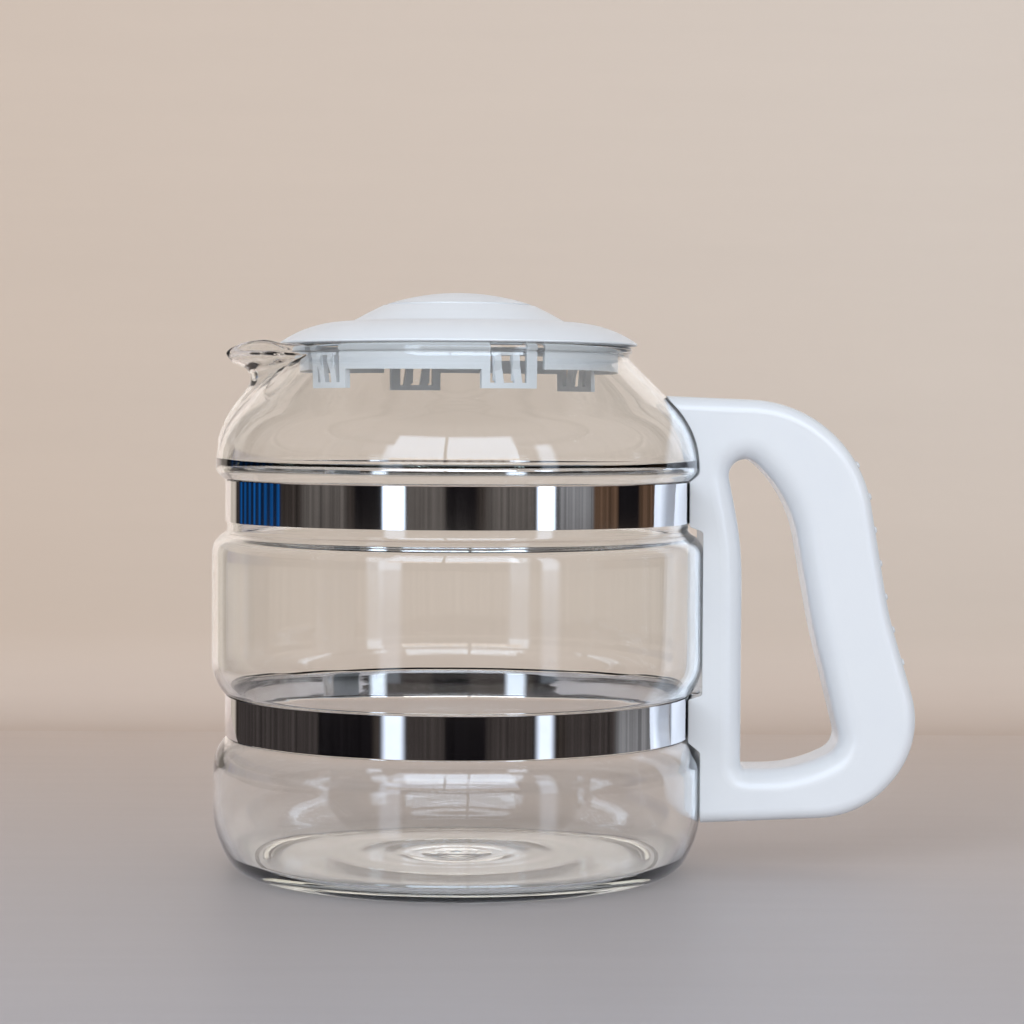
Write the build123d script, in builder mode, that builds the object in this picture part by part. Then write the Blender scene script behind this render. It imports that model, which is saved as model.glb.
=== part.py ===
from build123d import *
import os
from math import asin, atan2, cos, degrees, radians, sin

os.makedirs("parts", exist_ok=True)

# ---------------------------------------------------------------- driving dimensions (mm)
# The vessel stands on z = 0 with its axis on Z. The handle is at +X and the spout at -X.

# glass vessel
wall = 2.0                    # blown wall
base_wall = 2.3               # bottom plate
foot_r = 61.0                 # outside radius of the flat foot ring
foot_width = 2.5
punt = 1.2                    # how far the middle of the base stands off the table
lower_r = 72.55               # bulge under the lower band
middle_r = 73.05              # bulge between the bands
dome_r = 71.85                # widest place of the dome
groove_r = 68.5               # seats of the two bands
neck_r = 50.7                 # narrowest place under the rim bead
bead_r = 51.5
rim_z = 155.5

# spout: an ellipse in plan that grows out of the neck towards -X
spout_axis_x = -30.0          # middle of the ellipse
spout_ratio = 0.59            # half width over reach, outside
spout_bore_ratio = 0.566      # the same for the channel inside
lip_top_z = 156.5

# metal bands
band_height = 12.0
band_thick = 0.4
band_r = 69.0                 # outside radius
upper_band_z = 109.6          # middle heights
lower_band_z = 46.5
tab_gap = 3.6                 # clear space between the two turned-out ends
tab_end_x = 76.9
bend_r = 1.0

# clamp of each band, inside the handle's column
nut_x = 73.2
nut_r = 2.5
nut_length = 13.0
screw_r = 1.48
screw_length = 8.0
thread_gap = 0.02             # a plain shank stands in for each thread
head_r = 3.0
head_height = 1.6
washer_r = 4.0
washer_thick = 0.5
seat_x = 79.2                 # floor of the recess that takes washer and head

# handle
handle_width = 28.0
outer_round = 4.0             # rounding of the outside edges
grip_round = 6.5              # roll round the finger opening
cover_thick = 4.0             # far side plate
handle_wall = 3.0
glass_gap = 0.35              # between handle and glass
band_gap = 0.4                # between handle and bands
core_wall = 4.0               # solid left round the finger opening
boss_r = 3.8                  # bosses of the cover screws
cover_screw_places = [(93.0, 131.0), (114.6, 84.0), (101.0, 24.3), (78.6, 77.0)]
cover_screw_length = 11.0
cover_seat = 2.1              # recess floors of the cover screws, above the parting line
bump_r = 1.1
bump_height = 0.8
bump_root = 1.0               # sunk into the spine
bump_pitch = 10.0
bump_count = 7
bump_start = 64.6             # first bump, measured along the outline from the upper arm's root
bump_row_gap = 8.0

# lid
lid_wall = 1.8
flange_r = 53.0
flange_z = 155.8              # underside of the flange
skirt_r = 47.3
skirt_wall = 1.6
skirt_z = 147.4               # lower edge of the skirt
clip_z = 142.0                # lower edge of the clip frames
lid_turn = -106.3             # direction of the lid's own middle line
clip_spread = 35.0            # each clip's angle from that line
drain_slots = 8
drain_arc = 30.0              # degrees of each slot
lid_top_z = 171.3
cap_r = 21.3
cap_sphere = 68.4             # the cap is part of a sphere
cap_centre_z = lid_top_z - cap_sphere
cap_half_angle = degrees(asin(cap_r / cap_sphere))
cap_edge_z = cap_centre_z + cap_sphere * cos(radians(cap_half_angle))
under_r = cap_r - 1.8
under_half_angle = degrees(asin(under_r / (cap_sphere - lid_wall)))
under_edge_z = cap_centre_z + (cap_sphere - lid_wall) * cos(radians(under_half_angle))
clips = [(lid_turn + clip_spread, 1), (lid_turn - clip_spread, -1),
         (lid_turn + 180 + clip_spread, 1), (lid_turn + 180 - clip_spread, -1)]
frame_width = 16.2
window_middle = -0.4
window_width = 10.7
window_floor = 143.6
slot_middle = 9.3
slot_width = 2.4
tongue_top = 153.2
barb_z = 149.7
barb_reach = 0.8


def parallel(points, gap):
    """The outline moved sideways by gap, to the left of its direction."""
    moved = []
    last = len(points) - 1
    for i, (x, y) in enumerate(points):
        before = points[max(i - 1, 0)]
        after = points[min(i + 1, last)]
        turn_in = atan2(y - before[1], x - before[0]) if i > 0 else None
        turn_out = atan2(after[1] - y, after[0] - x) if i < last else turn_in
        turn_in = turn_out if turn_in is None else turn_in
        middle = (turn_in + turn_out) / 2
        if abs(turn_in - turn_out) > radians(180):
            middle += radians(180)
        reach = gap / cos((turn_out - turn_in) / 2)
        moved.append((x - reach * sin(middle), y + reach * cos(middle)))
    return moved


# ---------------------------------------------------------------- glass body
# Corners of the outside from the foot up, each with its rounding radius.
glass_corners = [
    ((foot_r, 0.0), 0.0),
    ((66.2, 0.0), 8.4),
    ((72.55, 12.0), 26.0),
    ((lower_r, 35.0), 11.0),
    ((69.4, 38.9), 0.8),
    ((groove_r, 40.1), 0.5),
    ((groove_r, 52.8), 0.3),
    ((69.6, 53.1), 0.6),
    ((middle_r, 57.7), 15.0),
    ((middle_r, 97.6), 6.5),
    ((groove_r, 100.9), 1.4),
    ((groove_r, 116.0), 0.3),
    ((69.5, 116.15), 0.6),
    ((dome_r, 118.4), 3.0),
    ((dome_r, 130.7), 26.0),
    ((neck_r, 151.75), 2.3),
    ((neck_r, 153.0), 0.4),
    ((bead_r, 153.5), 0.5),
]
glass_points = [corner for corner, radius in glass_corners]
glass_radii = [radius for corner, radius in glass_corners]

# The inside is one wall smaller and softer in its corners.
inner_corners = [
    ((65.3, punt + base_wall), 6.4),
    ((lower_r - wall, 12.6), 24.0),
    ((lower_r - wall, 35.6), 9.0),
    ((groove_r - wall, 40.6), 4.0),
    ((groove_r - wall, 52.6), 3.5),
    ((middle_r - wall, 58.3), 13.0),
    ((middle_r - wall, 96.6), 4.5),
    ((groove_r - wall, 99.9), 3.4),
    ((groove_r - wall, 115.2), 3.0),
    ((dome_r - wall, 118.6), 2.4),
    ((dome_r - wall, 129.8), 24.0),
    ((neck_r - wall, 150.95), 5.0),
]
inner_points = [corner for corner, radius in inner_corners]
inner_radii = [radius for corner, radius in inner_corners]

# The spout's own outline: reach from its middle line against height.
spout_points = [(40.2, 126.0), (37.6, 135.6), (29.9, 147.4), (41.8, 152.2), (42.8, 158.0)]
spout_radii = [20.0, 2.6, 1.2]


def spout_body(points, radii, ratio):
    """A vertical body, elliptical in plan, whose reach follows the outline."""
    with BuildPart() as body:
        with BuildSketch(Plane.XZ):
            with BuildLine():
                edge = FilletPolyline(*points, radius=radii)
                Polyline(edge @ 1, (0, points[-1][1]), (0, points[0][1]), edge @ 0)
            make_face()
        revolve(axis=Axis.Z)
    return Pos(spout_axis_x, 0, 0) * scale(body.part, by=(1, ratio, 1), mode=Mode.PRIVATE)


spout_outside = spout_body(spout_points, spout_radii, spout_ratio)
channel_points = parallel(spout_points, wall)
spout_channel = spout_body(channel_points, [18.0, 4.0, 1.0], spout_bore_ratio)

with BuildPart() as glass_body:
    with BuildSketch(Plane.XZ):
        with BuildLine():
            outside = FilletPolyline(*glass_points, (bead_r, rim_z), radius=glass_radii[1:])
            Polyline(outside @ 1, (0, rim_z), (0, punt), (foot_r - foot_width - 4, punt),
                     (foot_r - foot_width, 0), outside @ 0)
        make_face()
    revolve(axis=Axis.Z)
    add(spout_outside)
    with BuildSketch(Plane.XZ):
        with BuildLine():
            inside = FilletPolyline((0, punt + base_wall), *inner_points, (neck_r - wall, 170),
                                    radius=inner_radii)
            Polyline(inside @ 1, (0, 170), inside @ 0)
        make_face()
    revolve(axis=Axis.Z, mode=Mode.SUBTRACT)
    add(spout_channel, mode=Mode.SUBTRACT)
    # The rim is level round the neck, rises along the spout and falls to its tip.
    with BuildSketch(Plane.XZ):
        with BuildLine():
            rim = Spline((-52.6, rim_z), (-58.0, lip_top_z), (-66.0, 154.8), (-70.9, 151.2),
                         tangents=[(-1, 0), (-0.45, -1)])
            Polyline(rim @ 1, (-90, 151.2), (-90, 175), (60, 175), (60, rim_z), rim @ 0)
        make_face()
    extrude(amount=60, both=True, mode=Mode.SUBTRACT)
glass_body.part.label = "glass_body"
export_step(glass_body.part, "parts/glass_body.step")


# ---------------------------------------------------------------- bands
def band(middle_z):
    """A strap round the vessel whose two ends turn out into the handle."""
    tab_in = tab_gap / 2
    tab_out = tab_in + band_thick
    inner_r = band_r - band_thick
    with BuildPart() as strap:
        with BuildSketch(Plane.XY.offset(middle_z - band_height / 2)) as ring:
            Circle(band_r)
            Circle(inner_r, mode=Mode.SUBTRACT)
            with Locations((tab_end_x / 2, 0)):
                Rectangle(tab_end_x, 2 * tab_out)
            Circle(inner_r, mode=Mode.SUBTRACT)
            with Locations((tab_end_x / 2, 0)):
                Rectangle(tab_end_x + 4, tab_gap, mode=Mode.SUBTRACT)
            corners = ring.vertices().filter_by(lambda v: 60 < v.X < band_r + 0.1)
            fillet(corners.filter_by(lambda v: abs(v.Y) > tab_out - 0.01), bend_r)
            inside_bends = ring.vertices().filter_by(
                lambda v: 60 < v.X < inner_r + 0.1 and abs(abs(v.Y) - tab_in) < 0.01)
            fillet(inside_bends, bend_r + band_thick)
        extrude(amount=band_height)
        with BuildSketch(Plane.XZ.offset(-10)):
            with Locations((nut_x, middle_z)):
                Circle(nut_r + 0.1)
        extrude(amount=20, mode=Mode.SUBTRACT)
        tab_ends = strap.edges().filter_by(Axis.Y).group_by(Axis.X)[-1]
        fillet(tab_ends, 2.0)
    return strap.part


upper_band = band(upper_band_z)
upper_band.label = "upper_band"
export_step(upper_band, "parts/upper_band.step")

lower_band = band(lower_band_z)
lower_band.label = "lower_band"
export_step(lower_band, "parts/lower_band.step")


# ---------------------------------------------------------------- band clamps
def barrel_nut(middle_z):
    with BuildPart() as nut:
        with BuildSketch(Plane.XZ.offset(-nut_length / 2)):
            with Locations((nut_x, middle_z)):
                Circle(nut_r)
        extrude(amount=nut_length)
        chamfer(nut.faces().filter_by(Axis.Y).edges(), 0.4)
        with BuildSketch(Plane.YZ):
            with Locations((0, middle_z)):
                Circle(screw_r + thread_gap)
        extrude(amount=90, mode=Mode.SUBTRACT)
    return nut.part


def washer(middle_z):
    with BuildPart() as disc:
        with BuildSketch(Plane.YZ.offset(seat_x)):
            with Locations((0, middle_z)):
                Circle(washer_r)
                Circle(screw_r + 0.15, mode=Mode.SUBTRACT)
        extrude(amount=washer_thick)
    return disc.part


def cross_head_screw(seat, length):
    """A pan head screw along the plane's normal, its head standing on the plane."""
    along = Axis(seat.origin, seat.z_dir)
    with BuildPart() as screw:
        with BuildSketch(seat):
            Circle(head_r)
        extrude(amount=head_height)
        fillet(screw.faces().sort_by(along)[-1].edges(), 0.7)
        with BuildSketch(seat):
            Circle(screw_r)
        extrude(amount=-length)
        chamfer(screw.faces().sort_by(along)[0].edges(), 0.35)
        with BuildSketch(seat.offset(head_height - 0.9)):
            Rectangle(3.4, 0.8)
            Rectangle(0.8, 3.4)
        extrude(amount=2, mode=Mode.SUBTRACT)
    return screw.part


for place, middle_z in (("upper", upper_band_z), ("lower", lower_band_z)):
    head_seat = Plane(origin=(seat_x + washer_thick, 0, middle_z), x_dir=(0, 1, 0), z_dir=(1, 0, 0))
    clamp = {
        "barrel_nut": barrel_nut(middle_z),
        "band_washer": washer(middle_z),
        "band_screw": cross_head_screw(head_seat, screw_length),
    }
    for kind, piece in clamp.items():
        name = f"{place}_{kind}"
        piece.label = name
        export_step(piece, f"parts/{name}.step")


# ---------------------------------------------------------------- handle
# Side view: a solid D with its back to the vessel, and the finger opening in it.
# Corners of both outlines, each with its rounding radius.
back_x = 60.0
handle_corners = [
    ((back_x, 141.1), 0.0),
    ((116.6, 138.9), 37.0),
    ((127.0, 77.3), 90.0),
    ((138.4, 38.7), 27.5),
    ((119.1, 17.3), 29.0),
    ((back_x, 14.7), 0.0),
]
opening_corners = [
    ((83.9, 31.1), 1.8),
    ((83.9, 96.6), 100.0),
    ((77.2, 131.2), 4.8),
    ((97.9, 112.0), 38.0),
    ((104.9, 72.8), 150.0),
    ((113.7, 37.5), 6.0),
    ((99.9, 31.1), 40.0),
]
handle_points = [corner for corner, radius in handle_corners]
handle_radii = [radius for corner, radius in handle_corners[1:-1]]
opening_points = [corner for corner, radius in opening_corners]
opening_radii = [radius for corner, radius in opening_corners]

with BuildPart() as handle_blank:
    with BuildSketch(Plane.XZ.offset(-handle_width / 2)):
        with BuildLine():
            spine = FilletPolyline(*handle_points, radius=handle_radii)
            Line(spine @ 1, spine @ 0)
        make_face()
        with BuildLine():
            FilletPolyline(*opening_points, radius=opening_radii, close=True)
        make_face(mode=Mode.SUBTRACT)
    extrude(amount=handle_width)
    for far in (0, -1):
        side = handle_blank.faces().filter_by(Axis.Y).sort_by(Axis.Y)[far]
        rim_edges = side.outer_wire().edges().filter_by(lambda e: e.center().X > back_x + 1)
        fillet(rim_edges, outer_round)
        side = handle_blank.faces().filter_by(Axis.Y).sort_by(Axis.Y)[far]
        fillet(side.inner_wires()[0].edges(), grip_round)

# The handle's back follows the vessel: it bears on both bands and bridges the bulges.
relief_corners = [
    ((lower_r + glass_gap, 36.4), 1.2),
    ((band_r + band_gap, 39.3), 0.8),
    ((band_r + band_gap, 51.9), 0.5),
    ((middle_r + glass_gap, 53.2), 1.0),
    ((middle_r + glass_gap, 101.2), 1.2),
    ((band_r + band_gap, 102.7), 0.8),
    ((band_r + band_gap, 115.7), 0.3),
    ((dome_r + glass_gap, 118.1), 2.0),
    ((dome_r + glass_gap, 130.85), 26.0),
]
relief_points = [corner for corner, radius in relief_corners]
relief_radii = [radius for corner, radius in relief_corners]

with BuildPart() as vessel_room:
    with BuildSketch(Plane.XZ):
        with BuildLine():
            back = FilletPolyline((lower_r + glass_gap, 0), *relief_points, (dome_r - 29.65, 161.0),
                                  radius=relief_radii)
            Polyline(back @ 1, (0, 161.0), (0, 0), back @ 0)
        make_face()
    revolve(axis=Axis.Z)

# The parting line lies where the far rounding starts.
parting_y = handle_width / 2 - cover_thick
parting = Plane.XZ.offset(-parting_y)

with BuildLine(Plane.XZ) as spine_line:
    FilletPolyline(*handle_points, radius=handle_radii)
spine_path = spine_line.wire()

# three staggered rows of grip bumps run down the back of the spine
bump_places = []
for row, side_y in enumerate((-bump_row_gap, 0.0, bump_row_gap)):
    shift = bump_pitch / 2 if row == 1 else 0.0
    for k in range(bump_count):
        along = bump_start + shift + k * bump_pitch
        spot = spine_path.position_at(along, PositionMode.LENGTH)
        outward = spine_path.tangent_at(along, PositionMode.LENGTH).rotate(Axis.Y, -90)
        root = Vector(spot.X, side_y, spot.Z) - outward * bump_root
        bump_places.append(Plane(origin=root, x_dir=(0, 1, 0), z_dir=outward).location)

with BuildPart() as grip_bumps:
    with Locations(*bump_places):
        Cylinder(bump_r, bump_root + bump_height, align=(Align.CENTER, Align.CENTER, Align.MIN))
    tops = [solid.edges().filter_by(GeomType.CIRCLE).sort_by(Axis.X)[-1] for solid in grip_bumps.solids()]
    fillet(tops, 0.7)

with BuildSketch() as opening_guard:
    with BuildLine():
        FilletPolyline(*opening_points, radius=opening_radii, close=True)
    make_face()
    offset(amount=core_wall)

with BuildPart() as handle_body:
    add(handle_blank)
    split(bisect_by=parting, keep=Keep.TOP)
    add(vessel_room, mode=Mode.SUBTRACT)
    # arms and grip are cored from the parting line, with a boss for each cover screw
    with BuildSketch(parting):
        with BuildLine():
            core = FilletPolyline(*parallel(handle_points, -handle_wall), radius=[34.0, 87.0, 24.5, 26.0])
            Line(core @ 1, core @ 0)
        make_face()
        add(opening_guard.sketch, mode=Mode.SUBTRACT)
        with Locations((back_x + 9, 78)):
            Rectangle(18, 160, mode=Mode.SUBTRACT)
        with Locations((back_x + 14, 76)):
            Rectangle(28, 88, mode=Mode.SUBTRACT)
        with Locations(*cover_screw_places):
            Circle(boss_r, mode=Mode.SUBTRACT)
    extrude(amount=handle_width - cover_thick - handle_wall, mode=Mode.SUBTRACT)
    # pockets of the two band clamps: slot for the tabs, bore for the nut, recess for the head
    for middle_z in (upper_band_z, lower_band_z):
        with Locations(((band_r + tab_end_x) / 2, 0, middle_z)):
            Box(tab_end_x - band_r + 0.6, tab_gap + 1.4, band_height + 0.6, mode=Mode.SUBTRACT)
        with BuildSketch(parting):
            with Locations((nut_x, middle_z)):
                Circle(nut_r + 0.15)
        extrude(amount=parting_y + nut_length / 2 + 0.3, mode=Mode.SUBTRACT)
        with BuildSketch(Plane.YZ.offset(nut_x)):
            with Locations((0, middle_z)):
                Circle(screw_r + 0.3)
        extrude(amount=15, mode=Mode.SUBTRACT)
        with BuildSketch(Plane.YZ.offset(seat_x)):
            with Locations((0, middle_z)):
                Circle(washer_r + 0.4)
        extrude(amount=10, mode=Mode.SUBTRACT)
    # pilot holes of the cover screws
    with BuildSketch(parting):
        with Locations(*cover_screw_places):
            Circle(screw_r + thread_gap)
    extrude(amount=cover_screw_length, mode=Mode.SUBTRACT)
    add(grip_bumps)
handle_body.part.label = "handle_body"
export_step(handle_body.part, "parts/handle_body.step")

with BuildPart() as handle_cover:
    add(handle_blank)
    split(bisect_by=parting, keep=Keep.BOTTOM)
    add(vessel_room, mode=Mode.SUBTRACT)
    with BuildSketch(parting):
        with Locations(*cover_screw_places):
            Circle(screw_r + 0.3)
    extrude(amount=-cover_thick, mode=Mode.SUBTRACT)
    with BuildSketch(parting.offset(-cover_seat)):
        with Locations(*cover_screw_places):
            Circle(head_r + 0.3)
    extrude(amount=-cover_thick, mode=Mode.SUBTRACT)
handle_cover.part.label = "handle_cover"
export_step(handle_cover.part, "parts/handle_cover.step")

screws = []
for x, z in cover_screw_places:
    seat = Plane(origin=(x, parting_y + cover_seat, z), x_dir=(1, 0, 0), z_dir=(0, 1, 0))
    screws.append(cross_head_screw(seat, cover_screw_length))
cover_screws = Compound(label="cover_screws", children=screws)
export_step(cover_screws, "parts/cover_screws.step")


# ---------------------------------------------------------------- lid
with BuildPart() as lid:
    with BuildSketch(Plane.XZ):
        with BuildLine():
            CenterArc((0, cap_centre_z), cap_sphere, 90, -cap_half_angle)
            Polyline((cap_r, cap_edge_z), (cap_r + 0.1, 166.0), (cap_r + 1.1, 166.0), (cap_r + 1.3, 167.5),
                     (27.0, 165.3), (31.4, 162.9), (32.4, 162.5))
            ThreePointArc((32.4, 162.5), (42.6, 161.3), (flange_r - 0.1, 156.4))
            Polyline((flange_r - 0.1, 156.4), (flange_r, 156.1), (flange_r - 0.2, flange_z),
                     (skirt_r, flange_z), (skirt_r, clip_z), (skirt_r - skirt_wall, clip_z),
                     (skirt_r - skirt_wall, 157.8), (40.6, 159.9), (32.8, 160.8), (30.8, 161.0),
                     (26.4, 163.4), (cap_r + 2.0, 164.5), (cap_r - 1.6, 164.5), (under_r, under_edge_z))
            CenterArc((0, cap_centre_z), cap_sphere - lid_wall, 90 - under_half_angle, under_half_angle)
            Line((0, lid_top_z - lid_wall), (0, lid_top_z))
        make_face()
    revolve(axis=Axis.Z)
    # coffee dripping on the lid drains through slots in the channel round the cap
    with BuildSketch(Plane.XY.offset(160)):
        for k in range(drain_slots):
            start = lid_turn + (k + 0.5) * 360 / drain_slots - drain_arc / 2
            with BuildLine():
                inner = CenterArc((0, 0), cap_r + 0.1, start, drain_arc)
                outer = CenterArc((0, 0), cap_r + 1.1, start, drain_arc)
                Line(inner @ 0, outer @ 0)
                Line(inner @ 1, outer @ 1)
            make_face()
    extrude(amount=6.2, mode=Mode.SUBTRACT)
    # below the skirt's edge only the clip frames remain
    with BuildSketch(Plane.XY.offset(clip_z - 1)):
        Circle(skirt_r + 2)
        for direction, hand in clips:
            with Locations(Location((0, 0, 0), (0, 0, direction))):
                with Locations((skirt_r, 0)):
                    Rectangle(20, frame_width, mode=Mode.SUBTRACT)
    extrude(amount=skirt_z - clip_z + 1, mode=Mode.SUBTRACT)
    # each clip: a frame with a free strut, a slot beside it and a ribbed tongue inside
    for direction, hand in clips:
        outward = Vector(cos(radians(direction)), sin(radians(direction)), 0)
        sideways = Vector(-sin(radians(direction)), cos(radians(direction)), 0)
        face = Plane(origin=outward * (skirt_r - 6), x_dir=sideways, z_dir=outward)
        with BuildSketch(face):
            with Locations((hand * window_middle, (window_floor + flange_z) / 2)):
                Rectangle(window_width, flange_z - window_floor)
            with Locations((hand * slot_middle, (clip_z + flange_z) / 2)):
                Rectangle(slot_width, flange_z - clip_z + 2)
            with Locations((hand * window_middle - 0.4, tongue_top - 0.7)):
                Rectangle(window_width - 1.6, 1.4, mode=Mode.SUBTRACT)
            for rib_x in (-3.4, 2.0):
                left = hand * window_middle + rib_x - 1.2
                Polygon((left, tongue_top), (left + 2.3, tongue_top), (left + 2.3, barb_z),
                        (left + 3.3, window_floor - 0.5), (left + 1.0, window_floor - 0.5), (left, barb_z),
                        align=None, mode=Mode.SUBTRACT)
        extrude(amount=8, mode=Mode.SUBTRACT)
        for rib_x in (-3.4, 2.0):
            left = hand * window_middle + rib_x - 1.2
            with BuildSketch(Plane(origin=sideways * (left + 0.15), x_dir=outward, z_dir=-sideways)):
                Polygon((skirt_r - 1.2, tongue_top - 0.3), (skirt_r + 0.1, tongue_top - 0.3),
                        (skirt_r + barb_reach, barb_z), (skirt_r - 1.2, window_floor + 0.5), align=None)
            extrude(amount=-2.0)
lid.part.label = "lid"
export_step(lid.part, "parts/lid.step")
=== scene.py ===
from math import cos, exp, hypot, pi, radians, sin, sqrt, tan

import bpy
from mathutils import Matrix, Vector, noise


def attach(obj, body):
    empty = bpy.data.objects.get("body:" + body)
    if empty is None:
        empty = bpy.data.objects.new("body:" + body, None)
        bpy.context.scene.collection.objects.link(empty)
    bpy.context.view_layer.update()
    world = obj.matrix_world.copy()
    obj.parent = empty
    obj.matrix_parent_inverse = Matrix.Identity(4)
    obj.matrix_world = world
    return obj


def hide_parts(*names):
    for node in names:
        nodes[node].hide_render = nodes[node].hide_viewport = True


MM = 0.001

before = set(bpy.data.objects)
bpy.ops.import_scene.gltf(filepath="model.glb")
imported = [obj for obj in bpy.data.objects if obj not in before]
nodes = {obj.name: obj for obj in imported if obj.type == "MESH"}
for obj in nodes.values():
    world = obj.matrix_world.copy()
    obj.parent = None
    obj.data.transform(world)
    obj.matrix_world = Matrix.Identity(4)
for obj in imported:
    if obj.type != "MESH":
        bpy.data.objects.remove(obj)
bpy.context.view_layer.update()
scene = bpy.context.scene


# ------------------------------------------------------------------ outlines
def rounded(corners, step=radians(6), run=2.0):
    """An open outline through the corners (point, radius), with its arcs and long runs divided."""
    points = [corner for corner, radius in corners]
    outline = [points[0]]
    for i in range(1, len(points) - 1):
        (ax, ay), (bx, by), (cx, cy) = points[i - 1], points[i], points[i + 1]
        into = Vector((bx - ax, by - ay)).normalized()
        out_of = Vector((cx - bx, cy - by)).normalized()
        turn = into.angle_signed(out_of)
        radius = corners[i][1]
        reach = radius * tan(abs(turn) / 2)
        start = Vector((bx, by)) - into * reach
        side = Vector((into.y, -into.x)) * (1 if turn > 0 else -1)
        centre = start + side * radius
        count = max(2, round(abs(turn) / step))
        for k in range(count + 1):
            bend = Matrix.Rotation(-turn * k / count, 2)
            outline.append(tuple(centre - bend @ (side * radius)))
    outline.append(points[-1])
    return divided(outline, run)


def divided(outline, run):
    """The same outline with no stretch longer than run."""
    fine = [outline[0]]
    for (ax, ay), (bx, by) in zip(outline, outline[1:]):
        count = max(1, round(hypot(bx - ax, by - ay) / run))
        fine += [(ax + (bx - ax) * k / count, ay + (by - ay) * k / count) for k in range(1, count + 1)]
    return fine


def reach_at(outline, height):
    """How far an outline of (reach, height) points reaches at a height."""
    if height <= outline[0][1]:
        return outline[0][0]
    for (ra, za), (rb, zb) in zip(outline, outline[1:]):
        if za <= height <= zb:
            return ra + (rb - ra) * (height - za) / max(zb - za, 1e-9)
    return outline[-1][0]


def soft_max(a, b, blend):
    """The larger of the two, with a smooth passage of width blend between them."""
    near = max(blend - abs(a - b), 0.0) / blend
    return max(a, b) + near * near * blend / 4


def smooth_step(low, high, value):
    t = min(max((value - low) / (high - low), 0.0), 1.0)
    return t * t * (3 - 2 * t)


# ------------------------------------------------------------------ mesh helpers
def mesh_object(name, points, faces, material, smooth=True):
    mesh = bpy.data.meshes.new(name)
    mesh.from_pydata(points, [], faces)
    mesh.materials.append(material)
    for polygon in mesh.polygons:
        polygon.use_smooth = smooth
    mesh.update()
    piece = bpy.data.objects.new(name, mesh)
    scene.collection.objects.link(piece)
    return piece


# ------------------------------------------------------------------ node helpers
def material(name):
    """A new material, as (material, node tree, Principled shader)."""
    made = bpy.data.materials.new(name)
    made.use_nodes = True
    tree = made.node_tree
    return made, tree, tree.nodes["Principled BSDF"]


def add(tree, kind, **values):
    """A node whose sockets take the given values; a name with two underscores holds a space."""
    node = tree.nodes.new(kind)
    for key, value in values.items():
        socket = key.replace("__", " ")
        if socket in node.inputs:
            if isinstance(value, bpy.types.NodeSocket):
                tree.links.new(value, node.inputs[socket])
            else:
                node.inputs[socket].default_value = value
        else:
            setattr(node, key, value)
    return node


def calc(tree, operation, a, b=0.0):
    """The result of one sum on sockets or numbers."""
    node = tree.nodes.new("ShaderNodeMath")
    node.operation = operation
    for socket, value in zip(node.inputs, (a, b)):
        if isinstance(value, bpy.types.NodeSocket):
            tree.links.new(value, socket)
        else:
            socket.default_value = value
    return node.outputs[0]


def ramp(tree, factor, stops):
    """A colour ramp; each stop is (position, colour)."""
    node = tree.nodes.new("ShaderNodeValToRGB")
    tree.links.new(factor, node.inputs["Fac"])
    elements = node.color_ramp.elements
    while len(elements) < len(stops):
        elements.new(0.5)
    for element, (position, colour) in zip(elements, stops):
        element.position = position
        element.color = (*colour, 1.0)
    return node.outputs["Color"]


def noise_at(tree, scale, detail=3.0, roughness=0.5, stretch=(1, 1, 1)):
    """Noise in the piece's own metres."""
    place = add(tree, "ShaderNodeTexCoord")
    mapping = add(tree, "ShaderNodeMapping", Vector=place.outputs["Object"], Scale=stretch)
    return add(tree, "ShaderNodeTexNoise", Vector=mapping.outputs["Vector"], Scale=scale,
               Detail=detail, Roughness=roughness).outputs["Fac"]


def bump(tree, height, distance, strength=1.0, below=None):
    node = add(tree, "ShaderNodeBump", Height=height, Distance=distance, Strength=strength)
    if below is not None:
        tree.links.new(below, node.inputs["Normal"])
    return node.outputs["Normal"]


# ------------------------------------------------------------------ materials
def moulded_plastic(name, pale, deep, roughness_range, edge, grain):
    """White polypropylene: faint mottling, an orange-peel skin, and polish that varies."""
    made, tree, shader = material(name)
    mottling = noise_at(tree, 60.0, 4.0)
    tree.links.new(ramp(tree, mottling, [(0.3, deep), (0.7, pale)]), shader.inputs["Base Color"])
    wear = noise_at(tree, 420.0, 5.0, 0.65)
    low, high = roughness_range
    spread = add(tree, "ShaderNodeMapRange", Value=wear, To__Min=low, To__Max=high)
    tree.links.new(spread.outputs["Result"], shader.inputs["Roughness"])
    softened = add(tree, "ShaderNodeBevel", samples=6, Radius=edge).outputs["Normal"] if edge else None
    skin = bump(tree, noise_at(tree, 900.0, 2.0), 0.00002, grain, softened)
    flow = bump(tree, noise_at(tree, 45.0, 1.0), 0.00012, 0.8 * grain, skin)
    tree.links.new(flow, shader.inputs["Normal"])
    shader.inputs["IOR"].default_value = 1.49
    shader.inputs["Subsurface Weight"].default_value = 0.04
    shader.inputs["Subsurface Radius"].default_value = (0.004, 0.004, 0.004)
    return made


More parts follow.
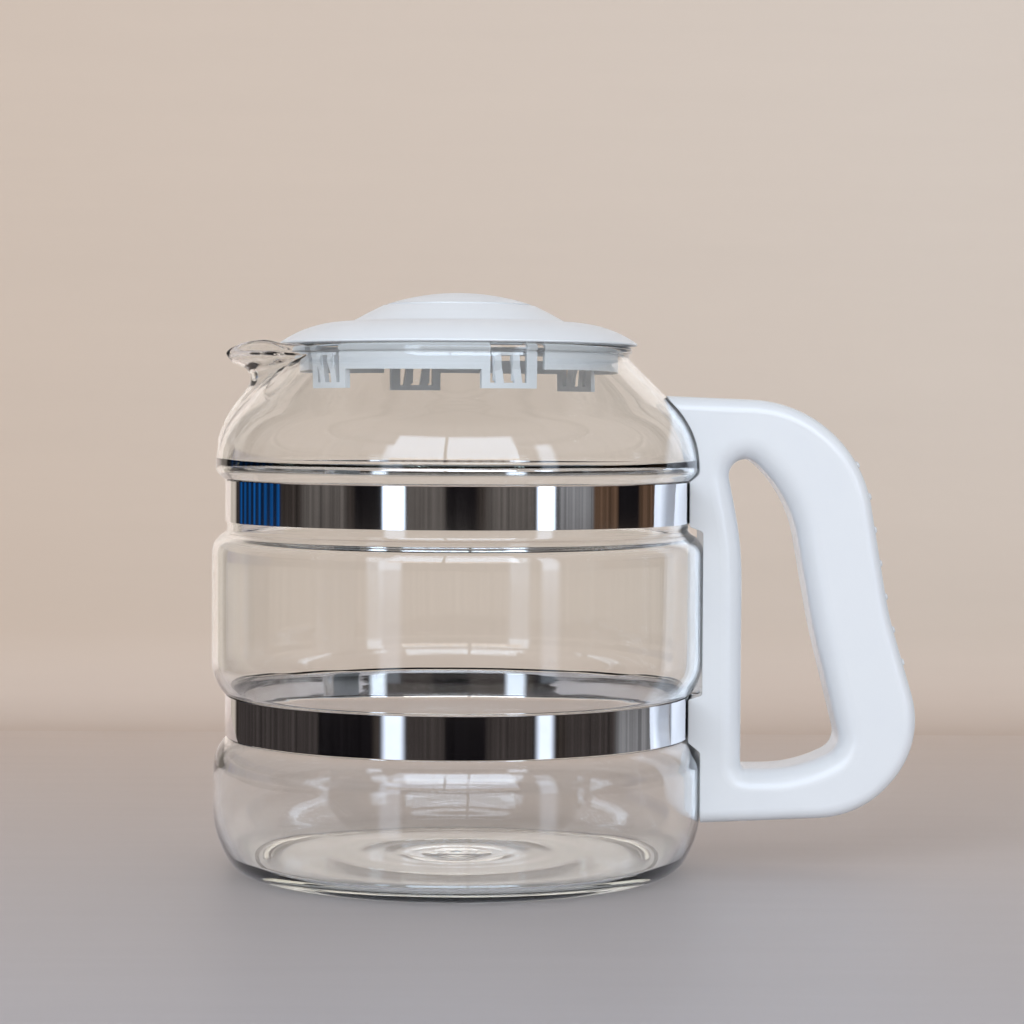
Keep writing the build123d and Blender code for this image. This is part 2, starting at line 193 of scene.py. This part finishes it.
def polished_band():
    """Stainless strip polished to a mirror, with fine wipe marks along it."""
    made, tree, shader = material("polished_band")
    shader.inputs["Metallic"].default_value = 1.0
    stain = noise_at(tree, 90.0, 3.0)
    tree.links.new(ramp(tree, stain, [(0.3, (0.74, 0.73, 0.74)), (0.7, (0.82, 0.82, 0.83))]),
                   shader.inputs["Base Color"])
    smear = noise_at(tree, 130.0, 6.0, 0.7, (1, 1, 0.25))
    spread = add(tree, "ShaderNodeMapRange", Value=smear, To__Min=0.015, To__Max=0.075)
    tree.links.new(spread.outputs["Result"], shader.inputs["Roughness"])
    wipe = noise_at(tree, 300.0, 4.0, 0.7, (1, 1, 9))
    wave = noise_at(tree, 28.0, 1.0, 0.5, (1, 1, 0.4))
    wiped = bump(tree, wipe, 0.000004, 0.25)
    tree.links.new(bump(tree, wave, 0.0002, 0.10, wiped), shader.inputs["Normal"])
    return made


def plated_steel():
    made, tree, shader = material("plated_steel")
    shader.inputs["Metallic"].default_value = 1.0
    tree.links.new(ramp(tree, noise_at(tree, 700.0), [(0.3, (0.50, 0.50, 0.50)), (0.7, (0.66, 0.66, 0.65))]),
                   shader.inputs["Base Color"])
    spread = add(tree, "ShaderNodeMapRange", Value=noise_at(tree, 1500.0, 5.0), To__Min=0.25, To__Max=0.50)
    tree.links.new(spread.outputs["Result"], shader.inputs["Roughness"])
    turned = noise_at(tree, 1200.0, 3.0, 0.6, (1, 6, 6))
    tree.links.new(bump(tree, turned, 0.00003, 0.4), shader.inputs["Normal"])
    return made


def clear_glass():
    """Borosilicate glass: a clear wall that turns faintly green along its edges, with faint water marks."""
    made, tree, shader = material("clear_glass")
    shader.inputs["Base Color"].default_value = (1.0, 1.0, 1.0, 1.0)
    shader.inputs["Transmission Weight"].default_value = 1.0
    shader.inputs["IOR"].default_value = 1.474
    marks = noise_at(tree, 75.0, 6.0, 0.7)
    spread = add(tree, "ShaderNodeMapRange", Value=marks,
                 From__Min=0.60, From__Max=0.85, To__Min=0.0, To__Max=0.05)
    tree.links.new(spread.outputs["Result"], shader.inputs["Roughness"])
    tint = add(tree, "ShaderNodeVolumeAbsorption", Density=9.0)
    tint.inputs["Color"].default_value = (0.62, 0.90, 0.55, 1.0)
    tree.links.new(tint.outputs["Volume"], tree.nodes["Material Output"].inputs["Volume"])
    return made


glass_material = clear_glass()
band_material = polished_band()
steel_material = plated_steel()
handle_material = moulded_plastic("handle_polypropylene", (0.675, 0.71, 0.755), (0.66, 0.695, 0.745),
                                  (0.16, 0.30), 0.0005, 0.35)
lid_material = moulded_plastic("lid_polypropylene", (0.715, 0.76, 0.815), (0.705, 0.75, 0.805),
                               (0.34, 0.38), 0.0, 0.02)

for name, made in (("upper_band", band_material), ("lower_band", band_material), ("lid", lid_material),
                   ("handle_body", handle_material), ("handle_cover", handle_material),
                   ("cover_screws", steel_material)):
    nodes[name].data.materials.clear()
    nodes[name].data.materials.append(made)
for place in ("upper", "lower"):
    for kind in ("barrel_nut", "band_washer", "band_screw"):
        clamp = nodes[f"{place}_{kind}"]
        clamp.data.materials.clear()
        clamp.data.materials.append(steel_material)


# ------------------------------------------------------------------ glass vessel (mm)
rim_z = 155.5
lip_fall = 1.2                # the rounded lip starts this far below the rim
punt = 1.2
floor_z = 3.5                 # inside of the base

outer_corners = [
    ((54.5, punt), 0.0), ((58.5, 0.0), 0.6), ((61.0, 0.0), 1.0), ((66.2, 0.0), 8.4), ((72.55, 12.0), 26.0),
    ((72.55, 35.0), 11.0), ((69.4, 38.9), 0.8), ((68.5, 40.1), 0.5),
    ((68.5, 52.8), 0.3), ((69.6, 53.1), 0.6),
    ((73.05, 57.7), 15.0), ((73.05, 97.6), 6.5), ((68.5, 100.9), 1.4),
    ((68.5, 116.0), 0.3), ((69.5, 116.15), 0.6), ((71.85, 118.4), 3.0), ((71.85, 130.7), 26.0),
    ((50.7, 151.75), 2.3), ((50.7, 153.0), 0.4), ((51.5, 153.5), 0.5), ((51.5, rim_z - lip_fall), 0.0),
]
inner_corners = [
    ((0.0, floor_z), 0.0), ((65.3, floor_z), 6.4), ((70.55, 12.6), 24.0), ((70.55, 35.6), 9.0),
    ((66.5, 40.6), 4.0), ((66.5, 52.6), 3.5), ((71.05, 58.3), 13.0), ((71.05, 96.6), 4.5),
    ((66.5, 99.9), 3.4), ((66.5, 113.8), 8.0), ((69.85, 119.3), 6.0), ((69.85, 129.8), 24.0),
    ((48.7, 150.95), 5.0), ((48.7, rim_z - lip_fall), 0.0),
]

# The spout is elliptical in plan and grows out of the neck towards -X.
spout_middle = -30.0
spout_outside = rounded([((40.2, 126.0), 0.0), ((37.6, 135.6), 20.0), ((29.9, 147.4), 4.0),
                         ((41.8, 152.2), 1.2), ((42.8, 158.0), 0.0)], run=0.5)
spout_inside = rounded([((38.3, 126.0), 0.0), ((35.7, 134.8), 18.0), ((27.0, 148.2), 5.0),
                        ((40.0, 153.5), 1.5), ((40.9, 158.0), 0.0)], run=0.5)
spout_ratio = 0.59
channel_ratio = 0.566
spout_blend = 5.0
lip_shape = [(-52.6, rim_z), (-58.0, 156.3), (-66.0, 154.6), (-70.9, 151.0)]   # the rim along the spout
stretch_from = 140.0          # above this height the wall follows the rim's rise and fall
tip_overlap = 1.5             # the inside ends this much higher at the tip, square to the lip


def spout_reach(direction, reach, ratio):
    """Distance from the vessel's axis to the spout's ellipse in a direction."""
    c, s = cos(direction), sin(direction)
    side = reach * ratio
    a = c * c / reach ** 2 + s * s / side ** 2
    b = -2 * c * spout_middle / reach ** 2
    d = b * b - 4 * a * (spout_middle ** 2 / reach ** 2 - 1)
    return (-b + sqrt(d)) / (2 * a) if d > 0 else 0.0


def rim_height(x):
    """Height of the rim at a place x along the spout, by cubic pieces through lip_shape."""
    if x >= lip_shape[0][0]:
        return rim_z
    slopes = [0.0, 0.06, 0.42, 1.5]
    for k in range(3):
        (xa, za), (xb, zb) = lip_shape[k], lip_shape[k + 1]
        if x >= xb or k == 2:
            span = xb - xa
            t = min((x - xa) / span, 1.0)
            ma, mb = slopes[k] * span, slopes[k + 1] * span
            return (za * (2 * t ** 3 - 3 * t ** 2 + 1) + ma * (t ** 3 - 2 * t ** 2 + t)
                    + zb * (3 * t ** 2 - 2 * t ** 3) + mb * (t ** 3 - t ** 2))


def glass_radius(direction, radius, height, spout, ratio):
    reach = spout_reach(direction, reach_at(spout, height), ratio) if height > spout[0][1] else 0.0
    return soft_max(radius, reach, spout_blend) if reach > 0 else radius


def rim_top(direction):
    height = rim_z
    for _ in range(25):
        radius = glass_radius(direction, 51.5, height, spout_outside, spout_ratio)
        height += 0.4 * (rim_height(radius * cos(direction)) - height)
    return height


def glass_vessel(turns=256):
    """One closed mesh: the outside up to the rim, over the lip and down the inside."""
    outside = divided([(0.0, punt), (54.5, punt)], 3.0)[:-1] + rounded(outer_corners)
    inside = rounded(inner_corners)[::-1]
    lip_steps = 7
    points, faces = [], []
    for i in range(turns):
        direction = 2 * pi * i / turns
        top = rim_top(direction) - lip_fall
        rise = (top - stretch_from) / (rim_z - lip_fall - stretch_from)
        at_tip = smooth_step(0.90, 1.0, -cos(direction))
        inner_top = top + tip_overlap * at_tip
        inner_rise = (inner_top - stretch_from) / (rim_z - lip_fall - stretch_from)
        ring = []
        for radius, height in outside:
            if height > stretch_from:
                height = stretch_from + (height - stretch_from) * rise
            ring.append((glass_radius(direction, radius, height, spout_outside, spout_ratio), height))
        inner_ring = []
        for radius, height in inside:
            if height > stretch_from:
                height = stretch_from + (height - stretch_from) * inner_rise
            inner_ring.append((glass_radius(direction, radius, height, spout_inside, channel_ratio), height))
        (ra, za), (rb, zb) = ring[-1], inner_ring[0]
        middle = Vector(((ra + rb) / 2, (za + zb) / 2))
        half = Vector(((rb - ra) / 2, (zb - za) / 2))
        over = Vector((-half.y, half.x)) * (-0.85 if half.x < 0 else 0.85)
        for k in range(1, lip_steps):
            beta = pi * k / lip_steps
            ring.append(tuple(middle - half * cos(beta) + over * sin(beta)))
        ring += inner_ring
        c, s = cos(direction), sin(direction)
        for radius, height in ring[1:-1]:
            points.append((radius * c * MM, radius * s * MM, height * MM))
    count = len(points) // turns
    for i in range(turns):
        j = (i + 1) % turns
        for k in range(count - 1):
            faces.append((i * count + k, j * count + k, j * count + k + 1, i * count + k + 1))
    base, inner_base = len(points), len(points) + 1
    points += [(0, 0, punt * MM), (0, 0, floor_z * MM)]
    for i in range(turns):
        j = (i + 1) % turns
        faces.append((base, j * count, i * count))
        faces.append((inner_base, i * count + count - 1, j * count + count - 1))
    return points, faces


wall_waves = ((38, 0.05, (0, 0, 0)), (95, 0.018, (7, 3, 1)))    # waves per metre, depth, start
set_in = 0.06                                                  # keeps the waves inside the drawn outline
base_ripples = ((7.5, 0.011, 0.45), (34.0, 0.05, 0.25))        # spacing, fading distance in metres, depth


def blown(point):
    """Unevenness of blown glass: slow waves in the wall and rings round the middle of the base."""
    x, y, z = point
    place = Vector(point)
    radius = hypot(x, y)
    wave = sum(noise.noise(place * scale + Vector(start)) * depth
               for scale, depth, start in wall_waves) - set_in
    outward = Vector((x, y, 0)).normalized() if radius > 1e-6 else Vector((0, 0, 0))
    moved = place + outward * (wave * MM)
    if radius < 0.055 and z < 0.006:
        ripple = sum(cos(2 * pi * radius / MM / spacing) * exp(-radius / fading) * depth
                     for spacing, fading, depth in base_ripples)
        moved.z += ripple * MM * (1 if z > 0.0025 else 0)
    return moved


vessel_points, vessel_faces = glass_vessel()
glass = mesh_object("carafe_glass", [blown(p) for p in vessel_points], vessel_faces, glass_material)
glass.visible_shadow = False
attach(glass, "carafe")
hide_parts("glass_body")


# ------------------------------------------------------------------ stage (m)
wall_y = 0.393                # where the table meets the backdrop
cove = 0.040                  # rounding between them
table_z = -0.0003
far_tone = (0.605, 0.505, 0.44)   # of the table's far edge and the foot of the backdrop
foot_height = 0.05


def plain_surface(name, axis, start, end, stops, roughness, grain, foot=None):
    """A matte surface whose tone drifts along one axis, with a faint grain; foot is its bottom's tone."""
    made, tree, shader = material(name)
    place = add(tree, "ShaderNodeTexCoord")
    parts = add(tree, "ShaderNodeSeparateXYZ", Vector=place.outputs["Object"])
    drift = add(tree, "ShaderNodeMapRange", Value=parts.outputs[axis], From__Min=start, From__Max=end)
    tone = ramp(tree, drift.outputs["Result"], stops)
    if foot:
        rise = add(tree, "ShaderNodeMapRange", interpolation_type="SMOOTHSTEP", Value=parts.outputs["Z"])
        rise.inputs["From Max"].default_value = foot_height
        blend = add(tree, "ShaderNodeMix", data_type="RGBA")
        tree.links.new(rise.outputs["Result"], blend.inputs[0])
        blend.inputs[6].default_value = (*foot, 1.0)
        tree.links.new(tone, blend.inputs[7])
        tone = blend.outputs[2]
    veins = noise_at(tree, 16.0, 6.0, 0.6, (0.5, 6, 6))
    shade = add(tree, "ShaderNodeMapRange", Value=veins, To__Min=1 - grain, To__Max=1 + grain)
    scaled = add(tree, "ShaderNodeVectorMath", operation="SCALE")
    tree.links.new(tone, scaled.inputs[0])
    tree.links.new(shade.outputs["Result"], scaled.inputs["Scale"])
    tree.links.new(scaled.outputs["Vector"], shader.inputs["Base Color"])
    shader.inputs["Roughness"].default_value = roughness
    return made, tree, shader


def one_sided(tree, shader):
    """Seen from behind, the surface isn't there, so that it hides nothing."""
    side = add(tree, "ShaderNodeNewGeometry")
    clear = add(tree, "ShaderNodeBsdfTransparent")
    mix = add(tree, "ShaderNodeMixShader", Fac=side.outputs["Backfacing"])
    tree.links.new(shader.outputs["BSDF"], mix.inputs[1])
    tree.links.new(clear.outputs["BSDF"], mix.inputs[2])
    tree.links.new(mix.outputs["Shader"], tree.nodes["Material Output"].inputs["Surface"])


def sheet(name, lines, made):
    """A surface across the lines, each a pair of end points."""
    points = [p for line in lines for p in line]
    faces = [(2 * k, 2 * k + 1, 2 * k + 3, 2 * k + 2) for k in range(len(lines) - 1)]
    piece = mesh_object(name, points, faces, made)
    return piece


table_tones = [(0.0, (0.475, 0.465, 0.495)), (1.0, far_tone)]
wall_tones = [(0.0, (0.595, 0.495, 0.415)), (1.0, (0.63, 0.55, 0.482))]
table_material, _, _ = plain_surface("table_surface", "Y", -0.22, wall_y, table_tones, 0.55, 0.045)
wall_material, wall_tree, wall_shader = plain_surface(
    "backdrop_surface", "X", -0.20, 0.20, wall_tones, 0.8, 0.02, far_tone)
one_sided(wall_tree, wall_shader)

mirrored_half_width = 0.30    # beyond this the stage isn't seen in the mirrors, as with a small tabletop
mirrored_front = -0.16
far_width = 4.0
room_front = -4.0


def table_part(name, x0, x1, y0, y1, mirrored):
    part = sheet(name, [((x0, y0, table_z), (x1, y0, table_z)), ((x0, y1, table_z), (x1, y1, table_z))],
                 table_material)
    part.visible_glossy = mirrored
    part.visible_transmission = mirrored


def wall_part(name, x0, x1, mirrored):
    steps = 8
    lines = [((x0, wall_y - cove, table_z), (x1, wall_y - cove, table_z))]
    for k in range(1, steps + 1):
        a = pi / 2 * k / steps
        y = wall_y - cove + cove * sin(a)
        z = table_z + cove - cove * cos(a)
        lines.append(((x0, y, z), (x1, y, z)))
    lines.append(((x0, wall_y, 2.2), (x1, wall_y, 2.2)))
    part = sheet(name, lines, wall_material)
    part.visible_glossy = mirrored
    part.visible_transmission = mirrored


table_part("table_middle", -mirrored_half_width, mirrored_half_width, mirrored_front, wall_y - cove, True)
table_part("table_left", -far_width, -mirrored_half_width, room_front, wall_y - cove, False)
table_part("table_right", mirrored_half_width, far_width, room_front, wall_y - cove, False)
table_part("table_front", -mirrored_half_width, mirrored_half_width, room_front, mirrored_front, False)
table_part("table_behind", -far_width, far_width, wall_y, far_width, False)
wall_part("backdrop_middle", -mirrored_half_width, mirrored_half_width, True)
wall_part("backdrop_left", -far_width, -mirrored_half_width, False)
wall_part("backdrop_right", mirrored_half_width, far_width, False)


# ------------------------------------------------------------------ light
def area_light(name, place, towards, size, power, colour):
    lamp = bpy.data.lights.new(name, "AREA")
    lamp.shape = "RECTANGLE"
    lamp.size, lamp.size_y = size
    lamp.energy = power
    lamp.color = colour
    made = bpy.data.objects.new(name, lamp)
    scene.collection.objects.link(made)
    made.location = place
    made.rotation_euler = (Vector(towards) - Vector(place)).to_track_quat("-Z", "Y").to_euler()
    made.visible_glossy = False
    made.visible_transmission = False
    made.visible_camera = False
    return made


area_light("window_left", (-1.1, -1.8, 0.75), (0, 0, 0.08), (1.6, 1.0), 26.0, (0.86, 0.93, 1.0))
area_light("window_right", (1.3, -1.6, 0.7), (0, 0, 0.08), (1.2, 1.0), 15.0, (0.86, 0.93, 1.0))
area_light("ceiling", (0, -0.2, 2.0), (0, 0.05, 0), (2.4, 1.8), 1.5, (1.0, 0.97, 0.93))
area_light("table_glow", (0, -0.9, 0.04), (0, 0, 0.14), (1.4, 0.1), 1.6, (1.0, 0.87, 0.74))


def room():
    """What the polished and glassy surfaces mirror: a dark room. All else sees a pale surround."""
    world = bpy.data.worlds.new("studio")
    scene.world = world
    world.use_nodes = True
    tree = world.node_tree
    tree.nodes.clear()
    place = add(tree, "ShaderNodeTexCoord")
    parts = add(tree, "ShaderNodeSeparateXYZ", Vector=place.outputs["Generated"])
    x, y, z = (parts.outputs[k] for k in "XYZ")
    azimuth = calc(tree, "DEGREES", calc(tree, "ARCTAN2", x, calc(tree, "MULTIPLY", y, -1.0)))
    elevation = calc(tree, "DEGREES", calc(tree, "ARCSINE", z))

    def edge(value, at, softness, rising):
        node = add(tree, "ShaderNodeMapRange", interpolation_type="SMOOTHSTEP", Value=value)
        node.inputs["From Min"].default_value = at - softness / 2
        node.inputs["From Max"].default_value = at + softness / 2
        node.inputs["To Min"].default_value = 0.0 if rising else 1.0
        node.inputs["To Max"].default_value = 1.0 if rising else 0.0
        return node.outputs["Result"]

    colour = add(tree, "ShaderNodeRGB").outputs[0]
    colour.default_value = (0.042, 0.034, 0.030, 1.0)

    def patch(left, right, low, high, tone, softness=1.5):
        """Lays a patch of light over the room, between two azimuths and two elevations."""
        nonlocal colour
        mask = calc(tree, "MULTIPLY", edge(azimuth, left, softness, True),
                    edge(azimuth, right, softness, False))
        mask = calc(tree, "MULTIPLY", mask, edge(elevation, low, softness, True))
        mask = calc(tree, "MULTIPLY", mask, edge(elevation, high, softness, False))
        mix = add(tree, "ShaderNodeMix", data_type="RGBA")
        tree.links.new(mask, mix.inputs[0])
        tree.links.new(colour, mix.inputs[6])
        mix.inputs[7].default_value = (*tone, 1.0)
        colour = mix.outputs[2]

    # what the upper band and the dome mirror, what the glass between the bands does, and the lower band
    upper_row, rail, lower_row = (-3, 8), (-5, -3), (-90, -5)
    shade = (0.008, 0.007, 0.008)
    wood = (0.11, 0.066, 0.042)
    grey = (0.14, 0.125, 0.115)
    dim = (0.05, 0.042, 0.04)
    pale = (0.26, 0.26, 0.27)

    patch(-180, -140, -90, 8, (0.60, 0.53, 0.46), 5)
    patch(130, 180, -90, 8, (0.52, 0.57, 0.65), 5)
    # a blue curtain with its folds
    patch(-135, -95, *upper_row, (0.005, 0.018, 0.05), 3)
    for k in range(8):
        patch(-133 + 5 * k, -131 + 5 * k, *upper_row, (0.007, 0.085, 0.30), 1.6)
    # walls, a doorway, cupboards and a bookcase
    patch(-80, -55, *upper_row, grey, 6)
    patch(-50, -35, *upper_row, shade, 3)
    patch(-25, -5, *upper_row, grey, 6)
    patch(-5, 10, *upper_row, shade, 3)
    patch(15, 40, *upper_row, grey, 5)
    patch(50, 70, *upper_row, pale, 4)
    patch(70, 115, *upper_row, wood, 2)
    patch(85, 100, *upper_row, shade, 2)
    patch(115, 130, *upper_row, pale, 5)
    # the lower half of the same furniture
    patch(-135, -70, *lower_row, dim, 3)
    patch(-70, -40, *lower_row, shade, 3)
    patch(-25, 40, *lower_row, dim, 5)
    patch(-5, 15, *lower_row, shade, 3)
    patch(55, 85, *lower_row, dim, 5)
    patch(85, 110, *lower_row, pale, 5)
    # a pale rail round the room, the high walls, the ceiling and the floor
    patch(-135, 110, *rail, (0.38, 0.36, 0.34), 0.6)
    patch(-180, 180, 8, 90, (0.47, 0.43, 0.40), 3)
    patch(-180, 180, 60, 90, (0.14, 0.12, 0.11), 12)
    patch(-180, 180, -90, -14, (0.44, 0.41, 0.39), 5)

    # uneven furniture: everything so far is streaked upright
    streaks = add(tree, "ShaderNodeTexNoise", noise_dimensions="1D", W=calc(tree, "MULTIPLY", azimuth, 0.33),
                  Scale=1.0, Detail=4.0, Roughness=0.7)
    strength = add(tree, "ShaderNodeMapRange", Value=streaks.outputs["Fac"],
                   From__Min=0.25, From__Max=0.75, To__Min=0.45, To__Max=1.55)
    streaked = add(tree, "ShaderNodeVectorMath", operation="SCALE")
    tree.links.new(colour, streaked.inputs[0])
    tree.links.new(strength.outputs["Result"], streaked.inputs["Scale"])
    colour = streaked.outputs["Vector"]

    # two tall windows, dimmer lower down, and a wide one above with a bar and a row of small panes
    for middle, half_width in ((-30, 5), (44, 4)):
        patch(middle - half_width, middle + half_width, -14, -3, (1.2, 1.35, 1.6), 4)
        patch(middle - half_width, middle + half_width, -3, 30, (3.0, 3.5, 4.2), 3)
    patch(-32, 30, 8, 42, (3.6, 4.2, 5.0), 1.0)
    patch(-32, 30, 8.5, 14.5, (3.0, 2.75, 2.55), 0.8)
    for k in range(12):
        patch(-31 + 5.2 * k, -29.5 + 5.2 * k, 9.5, 13.5, (1.7, 1.4, 1.2), 0.8)
    patch(-6, -4.5, 7, 43, (0.25, 0.22, 0.20), 0.6)

    paths = add(tree, "ShaderNodeLightPath")
    mirrored = calc(tree, "MINIMUM", paths.outputs["Glossy Depth"], 1.0)
    surround = add(tree, "ShaderNodeMix", data_type="RGBA")
    tree.links.new(mirrored, surround.inputs[0])
    overhead = ramp(tree, z, [(0.15, (0.72, 0.70, 0.68)), (0.85, (0.36, 0.36, 0.37))])
    tree.links.new(overhead, surround.inputs[6])
    tree.links.new(colour, surround.inputs[7])
    background = add(tree, "ShaderNodeBackground", Color=surround.outputs[2], Strength=1.0)
    out = add(tree, "ShaderNodeOutputWorld")
    tree.links.new(background.outputs["Background"], out.inputs["Surface"])


room()
scene.cycles.caustics_refractive = True
scene.cycles.caustics_reflective = False
scene.view_settings.view_transform = "Standard"

# ------------------------------------------------------------------ camera
camera_place = Vector((0.0160, -0.8271, 0.1353))
camera_fall = 0.035           # radians below the horizon
camera_roll = 0.005
camera_data = bpy.data.cameras.new("camera")
camera_data.sensor_width = 36.0
camera_data.lens = 97.69
camera_data.clip_start = 0.05
camera = bpy.data.objects.new("camera", camera_data)
scene.collection.objects.link(camera)
looking = Vector((0, cos(camera_fall), -sin(camera_fall)))
up = Vector((0, sin(camera_fall), cos(camera_fall)))
right = Vector((1, 0, 0))
tilted_right = right * cos(camera_roll) + up * sin(camera_roll)
tilted_up = up * cos(camera_roll) - right * sin(camera_roll)
turn = Matrix((tilted_right, tilted_up, -looking)).transposed()
camera.matrix_world = Matrix.Translation(camera_place) @ turn.to_4x4()
scene.camera = camera

# ------------------------------------------------------------------ update
bpy.context.view_layer.update()
